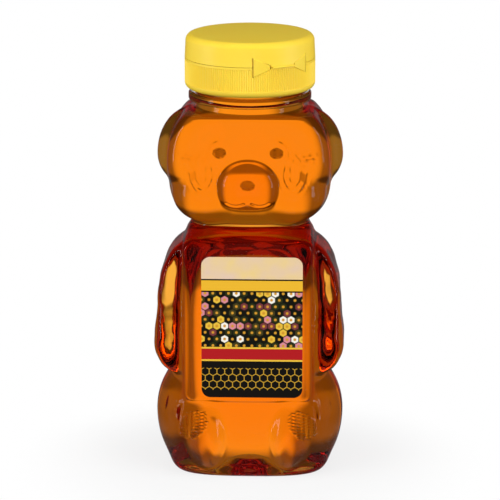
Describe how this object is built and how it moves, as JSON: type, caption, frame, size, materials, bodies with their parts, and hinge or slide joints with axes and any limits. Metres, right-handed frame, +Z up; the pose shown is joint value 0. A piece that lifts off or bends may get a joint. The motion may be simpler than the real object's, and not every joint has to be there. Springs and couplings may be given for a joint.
{
  "type": "honey bear squeeze bottle",
  "caption": "Clear bear-shaped squeeze bottle of honey with a front label, a foil seal and a screw-on flip-top cap that pours through a spout.",
  "frame": {"origin": "middle of the bounding box at the height of the standing face, on the axis of the neck", "axes": "+Z up along the neck, -Y the way the bear looks, +X towards the bear's left"},
  "size_m": [0.064, 0.0504, 0.1494],
  "materials": {
    "clear_pet": "clear blow-moulded PET, glossy",
    "honey": "clear amber honey",
    "label": "printed gloss label",
    "foil": "foil over white foam",
    "yellow_pp": "moulded yellow polypropylene, satin"
  },
  "bodies": {
    "bottle": {"bottle": "clear_pet", "honey": "honey", "front_label": "label"},
    "seal": {"foil_seal": "foil"},
    "cap": {"cap_base": "yellow_pp", "hinge_film": "yellow_pp", "hinge_web_left": "yellow_pp", "hinge_web_right": "yellow_pp"},
    "lid": {"cap_lid": "yellow_pp"}
  },
  "joints": [
    {"name": "cap_turn", "type": "hinge", "parent": "bottle", "child": "seal", "pos_m": [0, 0, 0.13955], "axis": [0, 0, 1], "range_deg": [0, 990]},
    {"name": "cap_lift", "type": "slide", "parent": "seal", "child": "cap", "axis": [0, 0, 1], "range_m": [0, 0.01165]},
    {"name": "lid_flip", "type": "hinge", "parent": "cap", "child": "lid", "pos_m": [0.01171, -0.01874, 0.1414], "axis": [0.848, 0.5299, 0], "range_deg": [0, 180], "deforming": ["hinge_web_left", "hinge_web_right"]}
  ],
  "couplings": [
    {"joint": "cap_lift", "follows": "cap_turn", "m_per_rad": 0.0006737}
  ]
}
